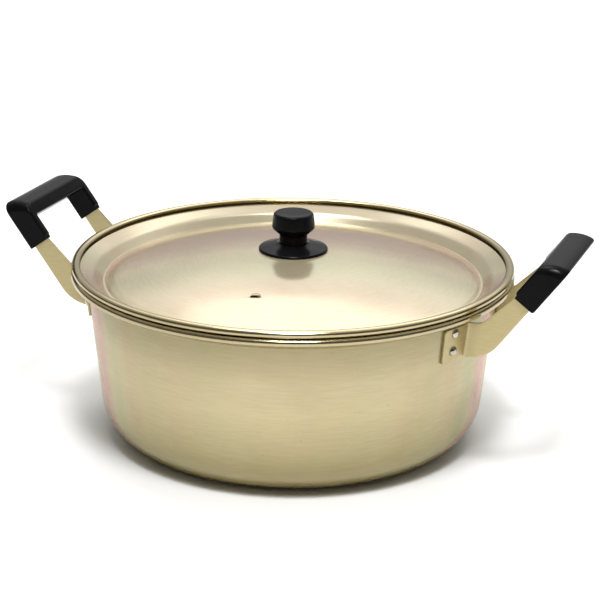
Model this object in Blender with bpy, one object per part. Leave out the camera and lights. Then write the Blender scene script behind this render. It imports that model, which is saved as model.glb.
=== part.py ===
"""Two-handled aluminium stockpot with a domed lid, modelled as separate pieces.

Units are metres and +Z is up. The origin is the centre of the base. The two
handles point along +X and -X, and the lid lifts off along +Z.
"""

import math

import bmesh
import bpy
from mathutils import Matrix, Vector

MM = 0.001

# Driving dimensions
RIM_HEIGHT = 130.0 * MM        # plane where the lid's bead rests on the pot's bead
MOUTH_RADIUS = 160.0 * MM      # inside of the pot's rim bead
SHEET = 1.8 * MM               # pot wall
LID_SHEET = 1.2 * MM
STRAP_SHEET = 1.8 * MM
GAP = 0.3 * MM                 # left between pieces that touch

# Pot
WALL_TAPER = 0.107             # radius gained per height gained
WALL_RIM_RADIUS = MOUTH_RADIUS - 5.0 * MM   # outer wall extended up to the rim plane
CORNER_RADIUS = 34.0 * MM      # outside of the bottom corner
BEAD_RADIUS = 3.0 * MM
BEAD_FOOT_IN = 2.2 * MM        # the flare's outside meets the bead here, from its centre
BEAD_FOOT_DOWN = 2.1 * MM
FLARE_DEPTH = 10.5 * MM        # the wall starts to open outwards this far below the rim
FLARE_EVEN_SHARE = 0.35        # part of the flare that opens evenly; the rest eases in and out
MOUTH_TOP_DOWN = 1.2 * MM      # the flare's inside ends this far below the bead's centre
MOUTH_TOP_OUT = 0.1 * MM

# Lid, heights measured from the rim plane
LID_BEAD_CENTRE = MOUTH_RADIUS + 2.0 * MM
LID_BEAD_HALF_WIDTH = 3.5 * MM
LID_BEAD_HALF_HEIGHT = 2.75 * MM
LID_RING_OUTER = 158.6 * MM
LID_KNEE_RADIUS = 148.0 * MM   # the ring slopes gently out here and steeply inside it
LID_KNEE_DROP = 2.6 * MM
LID_GROOVE_OUTER = 142.5 * MM
LID_GROOVE_INNER = 140.5 * MM
LID_GROOVE_DROP = 9.6 * MM
LID_SHOULDER_RADIUS = 134.0 * MM   # outer edge of the dome, above the groove
LID_SHOULDER_DROP = 6.6 * MM
LID_FLANK_RADIUS = 138.2 * MM  # the shoulder rounds over between the dome and the groove
LID_FLANK_DROP = 8.2 * MM
LID_RING_RISE = 0.6 * MM       # the ring's outer end lies this far above the rim plane
LID_SLIT_DEPTH = 1.4 * MM      # slit under the rolled edge, from the bead's centre inwards
LID_SLIT_LOW = 1.3 * MM
LID_SLIT_HIGH = 2.3 * MM
LID_UNDER_OUT = 0.4 * MM       # underside corners, from the matching corners on top
LID_UNDER_STEP = 0.5 * MM
LID_UNDER_THICKEN = 1.35       # sheet thickness measured along Z on the steep part
LID_APEX_RISE = 12.0 * MM
LID_PAD_RADIUS = 26.5 * MM     # flat seat for the knob
VENT_RADIUS = 91.5 * MM        # distance of the steam vent from the axis
VENT_HOOD = (5.2 * MM, 3.8 * MM, 2.4 * MM)      # half-axes of the pressed hood
VENT_THROAT = (4.0 * MM, 3.8 * MM, 1.5 * MM)    # half-axes of the opening under it
VENT_THROAT_FORWARD = 1.8 * MM
VENT_THROAT_DOWN = 0.2 * MM
VENT_HOLE_RADIUS = 1.6 * MM
VENT_HOLE_DEPTH = 8.0 * MM
VENT_HOLE_TOP = 0.2 * MM

# Knob, heights measured from its seat on the lid
FLANGE_RADIUS = 26.0 * MM
NECK_RADIUS = 10.4 * MM
HEAD_RADIUS = 16.2 * MM
HEAD_TOP_RADIUS = 14.3 * MM
FLANGE_RISE = 5.4 * MM
FLANGE_FOOT_IN = 0.8 * MM      # the rim of the flange, from its widest place
FLANGE_WIDEST = 0.7 * MM
FLANGE_RIM_IN = 0.5 * MM
FLANGE_RIM_TOP = 1.7 * MM
FLANGE_SLOPE = ((18.5 * MM, 3.6 * MM), (13.4 * MM, 4.7 * MM))   # radius and height
FLANGE_COLLAR = 0.9 * MM       # the flange's top is this much wider than the neck
FLANGE_TOP_DOWN = 0.1 * MM
KNOB_HEIGHT = 28.6 * MM
KNOB_HEAD_DEPTH = 16.6 * MM    # from the knob's top to the underside of its head
NECK_FOOT_OUT = 0.6 * MM
NECK_FOOT_RISE = 1.6 * MM
HEAD_UNDER_IN = 0.9 * MM       # the head's widest band, from its underside
HEAD_UNDER_RISE = 4.3 * MM
HEAD_BAND_LOW = 5.7 * MM
HEAD_BAND_HIGH = 6.9 * MM
HEAD_SHOULDER = 0.5 * MM       # rounding and dish of the head's top
HEAD_SHOULDER_DOWN = 1.2 * MM
HEAD_DISH_SHARE = 0.55
HEAD_DISH_EDGE = 0.5 * MM
HEAD_DISH_DEPTH = 0.7 * MM
SCREW_RADIUS = 2.5 * MM
INSERT_RADIUS = 4.5 * MM
INSERT_DEPTH = 16.0 * MM       # pocket for the insert, from the neck's lower end
INSERT_CAP = 1.5 * MM
SCREW_TIP_DOWN = 3.0 * MM      # the screw ends this far below the insert's top
WASHER_RADIUS = 8.0 * MM
WASHER_THICKNESS = 1.0 * MM
SCREW_HEAD_HEIGHT = 2.8 * MM
SCREW_HEAD_EDGE = 1.6 * MM
SCREW_HEAD_RADII = (2.6 * MM, 4.4 * MM, 4.7 * MM)   # at its end, its edge and its seat
KNOB_HOLE_REACH = 5.0 * MM

# Handles, in the vertical plane that holds the pull direction
GRIP_TILT = math.radians(53.7)
GRIP_FOOT = Vector((188.3 * MM, RIM_HEIGHT + 7.2 * MM))   # mid-width of a leg's lower end
GRIP_HALF_WIDTH = 9.3 * MM
GRIP_HALF_SPAN = 46.7 * MM
WINDOW_HALF_SPAN = 39.5 * MM
WINDOW_DEPTH = 20.1 * MM       # from the legs' ends up to the bar
GRIP_OUTER_DEPTH = 40.0 * MM   # leg end to bar top, along the outer edge
GRIP_INNER_DEPTH = 30.5 * MM   # the same, along the edge over the lid
GRIP_CROWN = 2.4 * MM
GRIP_CORNER = 9.0 * MM
GRIP_EDGE = 1.8 * MM
WINDOW_FILLET = 2.5 * MM
STRAP_SPAN = 43.0 * MM         # mid-plane of each arm, from the handle's centre plane
STRAP_HALF_WIDTH = 6.75 * MM
STRAP_OFFSET = 0.7 * MM
STRAP_BAR_DEPTH = 26.5 * MM
STRAP_CORNER = 4.0 * MM
STRAP_MOUTH_SHARE = 8.0        # the tunnel runs on below the leg by this many gaps
ARM_LEVEL_RUN = 7.0 * MM       # the arm's upper edge stays level this far from the bend
ARM_UPPER_FILLET = 12.0 * MM
ARM_LOWER_SHARE = 0.97         # share of the lower edge's level run that its curve takes
TAB_TOP = RIM_HEIGHT - 11.5 * MM
TAB_BOTTOM = RIM_HEIGHT - 37.5 * MM
TAB_END_ANGLE = math.radians(26.2)
TAB_BEND_RADIUS = 3.5 * MM
TAB_BEND_LEAD = math.radians(1.2)

# Rivets
RIVET_ANGLE = math.radians(22.2)
RIVET_HEIGHTS = (RIM_HEIGHT - 15.3 * MM, RIM_HEIGHT - 29.0 * MM)
RIVET_RADIUS = 2.0 * MM
RIVET_HEAD_RADIUS = 3.5 * MM
RIVET_HEAD_HEIGHT = 2.1 * MM
RIVET_INNER_SHARE = 0.55       # height of the head inside the pot, as a share of the outer
RIVET_INNER_GAPS = 1.5         # gaps between that head and the wall

# Facets per turn
POT_STEPS = 60
CORNER_STEPS = 7
INNER_CORNER_STEPS = 6
BEAD_STEPS = 9
FLARE_STEPS = 3
KNOB_STEPS = 28
DOME_STEPS = 6
LID_BEAD_STEPS = 8
RIVET_STEPS = 12
SMALL_STEPS = 18
HOLE_STEPS = 16
WASHER_STEPS = 24
TAB_STEPS = 4
FILLET_STEPS = 5
LOOKUP_STEPS = 64              # samples along the dome when its height is looked up


def clear_scene():
    for item in list(bpy.data.objects):
        bpy.data.objects.remove(item, do_unlink=True)


def principled(name, colour, roughness, metallic):
    """A plain finish shared by all the pieces made of one stuff."""
    material = bpy.data.materials.new(name)
    material.use_nodes = True
    shader = material.node_tree.nodes["Principled BSDF"]
    shader.inputs["Base Color"].default_value = (*colour, 1.0)
    shader.inputs["Roughness"].default_value = roughness
    shader.inputs["Metallic"].default_value = metallic
    return material


def add_object(name, mesh, material):
    piece = bpy.data.objects.new(name, mesh)
    bpy.context.scene.collection.objects.link(piece)
    if material is not None:
        mesh.materials.clear()
        mesh.materials.append(material)
    return piece


def finish_mesh(name, shape, sharp_angle=35.0):
    """Turn a bmesh into a mesh with outward faces and smooth round parts."""
    bmesh.ops.recalc_face_normals(shape, faces=shape.faces)
    mesh = bpy.data.meshes.new(name)
    shape.to_mesh(mesh)
    shape.free()
    mesh.shade_smooth()
    mesh.set_sharp_from_angle(angle=math.radians(sharp_angle))
    return mesh


def arc(centre, radius, start, end, steps):
    """Points on an arc, angles in degrees; radius is a number or a pair of half-axes."""
    across, up = radius if isinstance(radius, tuple) else (radius, radius)
    points = []
    for step in range(steps + 1):
        angle = math.radians(start + (end - start) * step / steps)
        points.append((centre[0] + across * math.cos(angle), centre[1] + up * math.sin(angle)))
    return points


def turned(name, profile, steps):
    """Spin a closed (radius, height) outline around Z."""
    shape = bmesh.new()
    corners = [shape.verts.new((radius, 0.0, height)) for radius, height in profile]
    for index, corner in enumerate(corners):
        following = corners[(index + 1) % len(corners)]
        on_axis = corner.co.x < 1e-7 and following.co.x < 1e-7
        if not on_axis:
            shape.edges.new((corner, following))
    bmesh.ops.spin(
        shape,
        geom=shape.verts[:] + shape.edges[:],
        cent=(0.0, 0.0, 0.0),
        axis=(0.0, 0.0, 1.0),
        angle=2.0 * math.pi,
        steps=steps,
        use_merge=True,
    )
    bmesh.ops.remove_doubles(shape, verts=shape.verts, dist=1e-6)
    return finish_mesh(name, shape)


def cutter(name, mesh):
    """A hidden object that Boolean modifiers use."""
    tool = add_object(name, mesh, None)
    tool.hide_render = True
    tool.display_type = "WIRE"
    return tool


def boolean(piece, tool, operation):
    modifier = piece.modifiers.new(tool.name, "BOOLEAN")
    modifier.object = tool
    modifier.operation = operation
    modifier.solver = "EXACT"


# ---------------------------------------------------------------- pot

def wall_radius(height):
    """Outer radius of the straight wall at a height."""
    return WALL_RIM_RADIUS - WALL_TAPER * (RIM_HEIGHT - height)


def flare(start, end, steps):
    """An S-shaped run from the wall out to the rim, without its first point."""
    points = []
    for step in range(1, steps + 1):
        part = step / steps
        eased = part * part * (3.0 - 2.0 * part)
        share = FLARE_EVEN_SHARE * part + (1.0 - FLARE_EVEN_SHARE) * eased
        radius = start[0] + (end[0] - start[0]) * share
        points.append((radius, start[1] + (end[1] - start[1]) * part))
    return points


def pot_profile():
    """Closed outline: base, outer wall, rim bead, inner wall, floor."""
    taper = math.degrees(math.atan(WALL_TAPER))
    arc_end = CORNER_RADIUS * (1.0 - math.sin(math.radians(taper)))
    flat_radius = wall_radius(arc_end) - CORNER_RADIUS * math.cos(math.radians(taper))
    bead = (MOUTH_RADIUS + BEAD_RADIUS, RIM_HEIGHT - GAP / 2.0 - BEAD_RADIUS)
    flare_low = RIM_HEIGHT - FLARE_DEPTH
    outer = [(0.0, 0.0)]
    outer += arc((flat_radius, CORNER_RADIUS), CORNER_RADIUS, -90.0, -taper, CORNER_STEPS)
    outer.append((wall_radius(flare_low), flare_low))
    bead_foot = (bead[0] - BEAD_FOOT_IN, bead[1] - BEAD_FOOT_DOWN)
    outer += flare(outer[-1], bead_foot, FLARE_STEPS)
    around_bead = arc(bead, BEAD_RADIUS, -90.0, 180.0, BEAD_STEPS)
    inner_low = (wall_radius(flare_low + SHEET) - SHEET, flare_low + SHEET)
    inner_high = (MOUTH_RADIUS + MOUTH_TOP_OUT, bead[1] - MOUTH_TOP_DOWN)
    inner = flare(inner_low, inner_high, FLARE_STEPS)[::-1]
    inner.append(inner_low)
    inner_corner = CORNER_RADIUS - SHEET
    inner += arc((flat_radius, CORNER_RADIUS), inner_corner, -taper, -90.0, INNER_CORNER_STEPS)
    inner.append((0.0, SHEET))
    return outer + around_bead + inner


def rivet_frame(side, angle, height):
    """Placement of a rivet: local Z points out of the wall, origin on the wall's outside."""
    tilt = math.atan(WALL_TAPER)
    turn = angle if side > 0 else math.pi + angle
    outward = Matrix.Rotation(turn, 4, "Z") @ Matrix.Rotation(math.pi / 2.0 + tilt, 4, "Y")
    radius = wall_radius(height)
    place = Vector((radius * math.cos(turn), radius * math.sin(turn), height))
    return Matrix.Translation(place) @ outward


def rivet_spots():
    """Name and placement of every rivet."""
    spots = []
    for side, side_name in ((1, "right"), (-1, "left")):
        for turn, end_name in ((-1, "front"), (1, "back")):
            for height, level in zip(RIVET_HEIGHTS, ("upper", "lower")):
                name = f"rivet_{side_name}_{end_name}_{level}"
                spots.append((name, rivet_frame(side, side * turn * RIVET_ANGLE, height)))
    return spots


def rivet_profile():
    """Domed head outside the tab, shank, and a flatter head inside the pot."""
    seat = GAP + STRAP_SHEET + GAP
    inside = -SHEET - RIVET_INNER_GAPS * GAP
    inner_halves = (RIVET_HEAD_RADIUS, RIVET_HEAD_HEIGHT * RIVET_INNER_SHARE)
    outline = arc((0.0, seat), (RIVET_HEAD_RADIUS, RIVET_HEAD_HEIGHT), 90.0, 0.0, 4)
    outline += [(RIVET_RADIUS, seat), (RIVET_RADIUS, inside)]
    outline += arc((0.0, inside), inner_halves, 0.0, -90.0, 3)
    outline[0] = (0.0, outline[0][1])
    outline[-1] = (0.0, outline[-1][1])
    return outline


def rod_mesh(name, radius, low, high, steps):
    """A plain round rod along Z."""
    return turned(name, [(0.0, low), (radius, low), (radius, high), (0.0, high)], steps)


def joined_cutter(name, mesh, frames):
    """One cutting object made of copies of a mesh."""
    shape = bmesh.new()
    for frame in frames:
        before = len(shape.verts)
        shape.from_mesh(mesh)
        shape.verts.ensure_lookup_table()
        bmesh.ops.transform(shape, matrix=frame, verts=shape.verts[before:])
    return cutter(name, finish_mesh(name, shape))


def build_pot(material, spots):
    pot = add_object("pot_body", turned("pot_body", pot_profile(), POT_STEPS), material)
    drill = rod_mesh("rivet_drill", RIVET_RADIUS + GAP, -3.0 * SHEET, 3.0 * SHEET, RIVET_STEPS)
    holes = joined_cutter("wall_rivet_holes", drill, [frame for _, frame in spots])
    boolean(pot, holes, "DIFFERENCE")
    return holes


def build_rivets(material, spots):
    mesh = turned("rivet", rivet_profile(), RIVET_STEPS)
    for name, frame in spots:
        rivet = add_object(name, mesh, material)
        rivet.matrix_world = frame


# ---------------------------------------------------------------- lid

def dome_points(lift, steps):
    """Dome from the edge of the knob's pad out to its shoulder, raised by lift."""
    rise = LID_APEX_RISE + LID_SHOULDER_DROP
    run = LID_SHOULDER_RADIUS
    sphere = (run * run + rise * rise) / (2.0 * rise)
    pad_drop = sphere - math.sqrt(sphere * sphere - LID_PAD_RADIUS * LID_PAD_RADIUS)
    points = []
    for step in range(steps + 1):
        radius = LID_PAD_RADIUS + (run - LID_PAD_RADIUS) * step / steps
        drop = sphere - math.sqrt(sphere * sphere - radius * radius) - pad_drop
        full_drop = rise * drop / (rise - pad_drop)
        points.append((radius, RIM_HEIGHT + LID_APEX_RISE - full_drop + lift))
    return points


def lid_profile():
    """Closed outline: top side out to the rolled edge, then back along the underside."""
    groove = RIM_HEIGHT - LID_GROOVE_DROP
    knee = RIM_HEIGHT - LID_KNEE_DROP
    flank = RIM_HEIGHT - LID_FLANK_DROP
    bead = (LID_BEAD_CENTRE, RIM_HEIGHT + GAP / 2.0 + LID_BEAD_HALF_HEIGHT)
    halves = (LID_BEAD_HALF_WIDTH, LID_BEAD_HALF_HEIGHT)
    slit_back = LID_BEAD_CENTRE - LID_SLIT_DEPTH
    top = [(0.0, RIM_HEIGHT + LID_APEX_RISE)]
    top += dome_points(0.0, DOME_STEPS)
    top.append((LID_FLANK_RADIUS, flank))
    top.append((LID_GROOVE_INNER, groove))
    top.append((LID_GROOVE_OUTER, groove))
    top.append((LID_KNEE_RADIUS, knee))
    top.append((LID_RING_OUTER, RIM_HEIGHT + LID_RING_RISE))
    top.append((slit_back, RIM_HEIGHT + LID_SLIT_LOW))
    top.append((slit_back, RIM_HEIGHT + LID_SLIT_HIGH))
    top += arc(bead, halves, 195.0, -90.0, LID_BEAD_STEPS)
    bottom = [
        (LID_RING_OUTER + LID_UNDER_OUT, RIM_HEIGHT - LID_RING_RISE),
        (LID_KNEE_RADIUS + LID_UNDER_STEP, knee - LID_SHEET * LID_UNDER_THICKEN),
        (LID_GROOVE_OUTER + LID_UNDER_STEP, groove - LID_SHEET),
        (LID_GROOVE_INNER - LID_UNDER_STEP, groove - LID_SHEET),
        (LID_FLANK_RADIUS - LID_UNDER_STEP, flank - LID_SHEET),
    ]
    bottom += dome_points(-LID_SHEET, DOME_STEPS)[::-1]
    bottom.append((0.0, RIM_HEIGHT + LID_APEX_RISE - LID_SHEET))
    return top + bottom


def ellipsoid(name, halves, centre):
    """A low-poly ellipsoid for the steam vent."""
    shape = bmesh.new()
    bmesh.ops.create_uvsphere(shape, u_segments=16, v_segments=8, radius=1.0)
    bmesh.ops.transform(shape, matrix=Matrix.Diagonal((*halves, 1.0)), verts=shape.verts)
    bmesh.ops.translate(shape, vec=centre, verts=shape.verts)
    return finish_mesh(name, shape)


def lid_height(radius):
    """Height of the dome's top side, read from its own outline."""
    points = dome_points(0.0, LOOKUP_STEPS)
    nearest = min(points, key=lambda point: abs(point[0] - radius))
    return nearest[1]


def build_lid(material):
    lid = add_object("lid_shell", turned("lid_shell", lid_profile(), POT_STEPS), material)
    vent = Vector((0.0, -VENT_RADIUS, lid_height(VENT_RADIUS)))
    hood = cutter("vent_hood", ellipsoid("vent_hood", VENT_HOOD, vent))
    boolean(lid, hood, "UNION")
    throat_centre = vent + Vector((0.0, -VENT_THROAT_FORWARD, -VENT_THROAT_DOWN))
    throat = cutter("vent_throat", ellipsoid("vent_throat", VENT_THROAT, throat_centre))
    boolean(lid, throat, "DIFFERENCE")
    drop = rod_mesh("vent_drop", VENT_HOLE_RADIUS, -VENT_HOLE_DEPTH, VENT_HOLE_TOP, RIVET_STEPS)
    drop_tool = cutter("vent_drop", drop)
    drop_tool.location = vent
    boolean(lid, drop_tool, "DIFFERENCE")
    hole_radius = SCREW_RADIUS + GAP
    hole = rod_mesh("knob_hole", hole_radius, -KNOB_HOLE_REACH, KNOB_HOLE_REACH, HOLE_STEPS)
    hole_tool = cutter("knob_hole", hole)
    hole_tool.location = (0.0, 0.0, RIM_HEIGHT + LID_APEX_RISE)
    boolean(lid, hole_tool, "DIFFERENCE")


def build_knob(black, steel, brass):
    """Flange, knob, its moulded-in insert, and the screw and washer below the lid."""
    seat = RIM_HEIGHT + LID_APEX_RISE + GAP
    bore = SCREW_RADIUS + GAP
    neck_low = seat + FLANGE_RISE
    top = seat + KNOB_HEIGHT
    flange = [(bore, seat), (FLANGE_RADIUS - FLANGE_FOOT_IN, seat)]
    flange.append((FLANGE_RADIUS, seat + FLANGE_WIDEST))
    flange.append((FLANGE_RADIUS - FLANGE_RIM_IN, seat + FLANGE_RIM_TOP))
    flange += [(radius, seat + rise) for radius, rise in FLANGE_SLOPE]
    flange.append((NECK_RADIUS + FLANGE_COLLAR, neck_low - FLANGE_TOP_DOWN))
    flange.append((bore, neck_low - FLANGE_TOP_DOWN))
    add_object("knob_flange", turned("knob_flange", flange, KNOB_STEPS), black)

    head_low = top - KNOB_HEAD_DEPTH
    pocket = INSERT_RADIUS + GAP
    pocket_top = neck_low + INSERT_DEPTH
    grip = [(pocket, neck_low + GAP), (NECK_RADIUS + NECK_FOOT_OUT, neck_low + GAP)]
    grip += [(NECK_RADIUS, neck_low + NECK_FOOT_RISE), (NECK_RADIUS, head_low)]
    grip.append((HEAD_RADIUS - HEAD_UNDER_IN, head_low + HEAD_UNDER_RISE))
    grip.append((HEAD_RADIUS, head_low + HEAD_BAND_LOW))
    grip.append((HEAD_RADIUS, head_low + HEAD_BAND_HIGH))
    grip.append((HEAD_TOP_RADIUS + HEAD_SHOULDER, top - HEAD_SHOULDER_DOWN))
    grip.append((HEAD_TOP_RADIUS - HEAD_SHOULDER, top))
    grip.append((HEAD_TOP_RADIUS * HEAD_DISH_SHARE, top - HEAD_DISH_EDGE))
    grip += [(0.0, top - HEAD_DISH_DEPTH), (0.0, pocket_top), (pocket, pocket_top)]
    add_object("knob_grip", turned("knob_grip", grip, KNOB_STEPS), black)

    insert_low = neck_low + GAP
    insert_high = pocket_top - GAP
    insert = [(bore, insert_low), (INSERT_RADIUS, insert_low), (INSERT_RADIUS, insert_high)]
    insert += [(0.0, insert_high), (0.0, insert_high - INSERT_CAP)]
    insert.append((bore, insert_high - INSERT_CAP))
    add_object("knob_insert", turned("knob_insert", insert, SMALL_STEPS), brass)

    under = RIM_HEIGHT + LID_APEX_RISE - LID_SHEET - GAP
    washer_low = under - WASHER_THICKNESS
    washer = [(bore, washer_low), (WASHER_RADIUS, washer_low), (WASHER_RADIUS, under)]
    washer.append((bore, under))
    add_object("knob_washer", turned("knob_washer", washer, WASHER_STEPS), steel)

    head_high = washer_low - GAP
    end_radius, edge_radius, seat_radius = SCREW_HEAD_RADII
    screw = [(0.0, head_high - SCREW_HEAD_HEIGHT), (end_radius, head_high - SCREW_HEAD_HEIGHT)]
    screw += [(edge_radius, head_high - SCREW_HEAD_EDGE), (seat_radius, head_high)]
    screw += [(SCREW_RADIUS, head_high), (SCREW_RADIUS, insert_high - SCREW_TIP_DOWN)]
    screw.append((0.0, insert_high - SCREW_TIP_DOWN))
    add_object("knob_screw", turned("knob_screw", screw, SMALL_STEPS), steel)


# ---------------------------------------------------------------- handles

def grip_axes():
    """Unit vectors of the grip in the (outward, up) plane: along a leg, and across it."""
    along = Vector((math.cos(GRIP_TILT), math.sin(GRIP_TILT)))
    across = Vector((-math.sin(GRIP_TILT), math.cos(GRIP_TILT)))
    return along, across


def grip_point(span, depth, width):
    """World point of the right-hand grip from its own three coordinates."""
    along, across = grip_axes()
    flat = GRIP_FOOT + along * depth + across * width
    return Vector((flat.x, span, flat.y))


def filleted(start, corner, end, radius, steps):
    """Start, a round corner and end, as points in a plane."""
    back = (start - corner).normalized()
    ahead = (end - corner).normalized()
    half = back.angle(ahead) / 2.0
    centre = corner + (back + ahead).normalized() * (radius / math.sin(half))
    first = corner + back * (radius / math.tan(half)) - centre
    last = corner + ahead * (radius / math.tan(half)) - centre
    points = [start]
    for step in range(steps + 1):
        part = step / steps
        points.append(centre + first.slerp(last, part).normalized() * radius)
    points.append(end)
    return points


def tab_station(height, angle):
    radius = wall_radius(height) + GAP + STRAP_SHEET / 2.0
    return Vector((radius * math.cos(angle), radius * math.sin(angle), height))


def bend_station(height, part):
    """Mid-line of the bend that turns a tab into an arm, from the tab (0) to the arm (1)."""
    radius = wall_radius(height) + GAP + STRAP_SHEET / 2.0
    start = math.asin((STRAP_SPAN + TAB_BEND_RADIUS) / (radius + TAB_BEND_RADIUS))
    centre_out = (radius + TAB_BEND_RADIUS) * math.cos(start)
    centre_span = STRAP_SPAN + TAB_BEND_RADIUS
    angle = (start + math.pi) + (math.pi / 2.0 - start) * part
    out = centre_out + TAB_BEND_RADIUS * math.cos(angle)
    span = centre_span + TAB_BEND_RADIUS * math.sin(angle)
    return Vector((out, span, height))


def arm_edges(half_width):
    """Lower and upper edges of an arm, in the (outward, up) plane, pot to grip."""
    along, across = grip_axes()
    low_end = GRIP_FOOT + across * (STRAP_OFFSET - half_width)
    high_end = GRIP_FOOT + across * (STRAP_OFFSET + half_width)
    low_start = Vector((bend_station(TAB_BOTTOM, 1.0).x, TAB_BOTTOM))
    high_start = Vector((bend_station(TAB_TOP, 1.0).x, TAB_TOP))
    low_corner = low_end - along * ((low_end.y - TAB_BOTTOM) / along.y)
    high_corner = Vector((high_start.x + ARM_LEVEL_RUN, TAB_TOP))
    low_reach = (low_corner - low_start).length * ARM_LOWER_SHARE
    low_radius = low_reach / math.tan(GRIP_TILT / 2.0)
    lower = filleted(low_start, low_corner, low_end, low_radius, FILLET_STEPS)
    upper = filleted(high_start, high_corner, high_end, ARM_UPPER_FILLET, FILLET_STEPS)
    return lower, upper


def half_strap():
    """Pairs of edge points from a tab's end to the middle of the bar, on the +span side."""
    pairs = []
    bend_start = math.asin(STRAP_SPAN / wall_radius(TAB_TOP)) + TAB_BEND_LEAD
    for step in range(TAB_STEPS):
        angle = TAB_END_ANGLE + (bend_start - TAB_END_ANGLE) * step / TAB_STEPS
        pairs.append((tab_station(TAB_BOTTOM, angle), tab_station(TAB_TOP, angle)))
    for step in range(TAB_STEPS + 1):
        part = step / TAB_STEPS
        pairs.append((bend_station(TAB_BOTTOM, part), bend_station(TAB_TOP, part)))
    lower, upper = arm_edges(STRAP_HALF_WIDTH)
    for low, high in zip(lower[1:], upper[1:]):
        pairs.append((Vector((low.x, STRAP_SPAN, low.y)), Vector((high.x, STRAP_SPAN, high.y))))
    return pairs + bar_pairs(0.0)[1:]


def bar_pairs(extra):
    """Edge pairs of the strap inside the grip, widened by extra on both edges."""
    low_width = STRAP_OFFSET - STRAP_HALF_WIDTH - extra
    high_width = STRAP_OFFSET + STRAP_HALF_WIDTH + extra
    line = [(STRAP_SPAN, -STRAP_MOUTH_SHARE * extra)]
    centre = (STRAP_SPAN - STRAP_CORNER, STRAP_BAR_DEPTH - STRAP_CORNER)
    line += arc(centre, STRAP_CORNER, 0.0, 90.0, 4)
    line.append((0.0, STRAP_BAR_DEPTH))
    return [
        (grip_point(span, depth, low_width), grip_point(span, depth, high_width))
        for span, depth in line
    ]


def strip(name, half_pairs, thickness):
    """A sheet-metal strip, mirrored about the handle's centre plane and given thickness."""
    other_half = []
    for low, high in reversed(half_pairs[:-1]):
        mirrored = [Vector((point.x, -point.y, point.z)) for point in (low, high)]
        other_half.append(tuple(mirrored))
    shape = bmesh.new()
    previous = None
    for low, high in half_pairs + other_half:
        edge = (shape.verts.new(low), shape.verts.new(high))
        if previous is not None:
            shape.faces.new((previous[0], edge[0], edge[1], previous[1]))
        previous = edge
    bmesh.ops.recalc_face_normals(shape, faces=shape.faces)
    sheet = bpy.data.meshes.new(name)
    shape.to_mesh(sheet)
    shape.free()
    piece = add_object(name, sheet, None)
    solid = piece.modifiers.new("plate", "SOLIDIFY")
    solid.thickness = thickness
    solid.offset = 0.0
    solid.use_even_offset = True
    return piece


def bar_top(width):
    """Depth of the bar's top at a place across the grip: sloping, with a crown."""
    middle = (GRIP_OUTER_DEPTH + GRIP_INNER_DEPTH) / 2.0
    slope = (GRIP_INNER_DEPTH - GRIP_OUTER_DEPTH) / (2.0 * GRIP_HALF_WIDTH)
    crown = GRIP_CROWN * (1.0 - (width / GRIP_HALF_WIDTH) ** 2)
    return middle + slope * width + crown


def grip_outline(width, inset):
    """The U-shaped outline of the grip in (span, depth) at one place across it."""
    outer = GRIP_HALF_SPAN - inset
    inner = WINDOW_HALF_SPAN + inset
    top = bar_top(width) - inset
    roof = WINDOW_DEPTH + inset
    corner = GRIP_CORNER - inset
    right = [(inner, inset), (outer, inset)]
    right += arc((outer - corner, top - corner), corner, 0.0, 90.0, 5)
    window_centre = (inner - WINDOW_FILLET, roof - WINDOW_FILLET)
    window = arc(window_centre, WINDOW_FILLET, 90.0, 0.0, 3)
    left = [(-span, depth) for span, depth in reversed(right)]
    window_left = [(-span, depth) for span, depth in reversed(window)]
    return right + left + window_left + window


def build_grip_mesh():
    """Loft the U outline across the grip, with rounded edges on both faces."""
    stations = []
    for step in range(4):
        angle = math.radians(90.0 * step / 3.0)
        lift = GRIP_EDGE * (1.0 - math.sin(angle))
        stations.append((-GRIP_HALF_WIDTH + GRIP_EDGE * (1.0 - math.cos(angle)), lift))
    middle = [(part * (GRIP_HALF_WIDTH - GRIP_EDGE), 0.0) for part in (-0.5, 0.0, 0.5)]
    stations = stations + middle + [(-width, lift) for width, lift in reversed(stations)]
    shape = bmesh.new()
    rings = []
    for width, inset in stations:
        outline = grip_outline(width, inset)
        rings.append([shape.verts.new(grip_point(span, depth, width)) for span, depth in outline])
    for ring, following in zip(rings, rings[1:]):
        for index, corner in enumerate(ring):
            after = (index + 1) % len(ring)
            shape.faces.new((corner, ring[after], following[after], following[index]))
    shape.faces.new(rings[0])
    shape.faces.new(rings[-1])
    return finish_mesh("handle_grip", shape, 40.0)


def build_handles(metal, black, wall_holes):
    """Both handles: a bent strap with tabs, and the moulded grip over its bar."""
    strap_shape = half_strap()
    tunnel_shape = bar_pairs(GAP)
    grip_mesh = build_grip_mesh()
    for side, turn in (("right", 0.0), ("left", math.pi)):
        strap = strip(f"handle_strap_{side}", strap_shape, STRAP_SHEET)
        strap.data.materials.append(metal)
        strap.rotation_euler.z = turn
        boolean(strap, wall_holes, "DIFFERENCE")
        grip = add_object(f"handle_grip_{side}", grip_mesh, black)
        grip.rotation_euler.z = turn
        tunnel = strip(f"strap_tunnel_{side}", tunnel_shape, STRAP_SHEET + 2.0 * GAP)
        tunnel.hide_render = True
        tunnel.display_type = "WIRE"
        tunnel.rotation_euler.z = turn
        boolean(grip, tunnel, "DIFFERENCE")


def main():
    clear_scene()
    gold = principled("gold_anodised_aluminium", (0.52, 0.44, 0.26), 0.28, 1.0)
    bright = principled("bright_aluminium", (0.66, 0.60, 0.46), 0.18, 1.0)
    black = principled("black_phenolic", (0.012, 0.012, 0.014), 0.24, 0.0)
    steel = principled("zinc_plated_steel", (0.62, 0.62, 0.60), 0.3, 1.0)
    brass = principled("brass", (0.63, 0.47, 0.2), 0.3, 1.0)
    spots = rivet_spots()
    wall_holes = build_pot(gold, spots)
    build_handles(gold, black, wall_holes)
    build_rivets(bright, spots)
    build_lid(gold)
    build_knob(black, steel, brass)


main()
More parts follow.
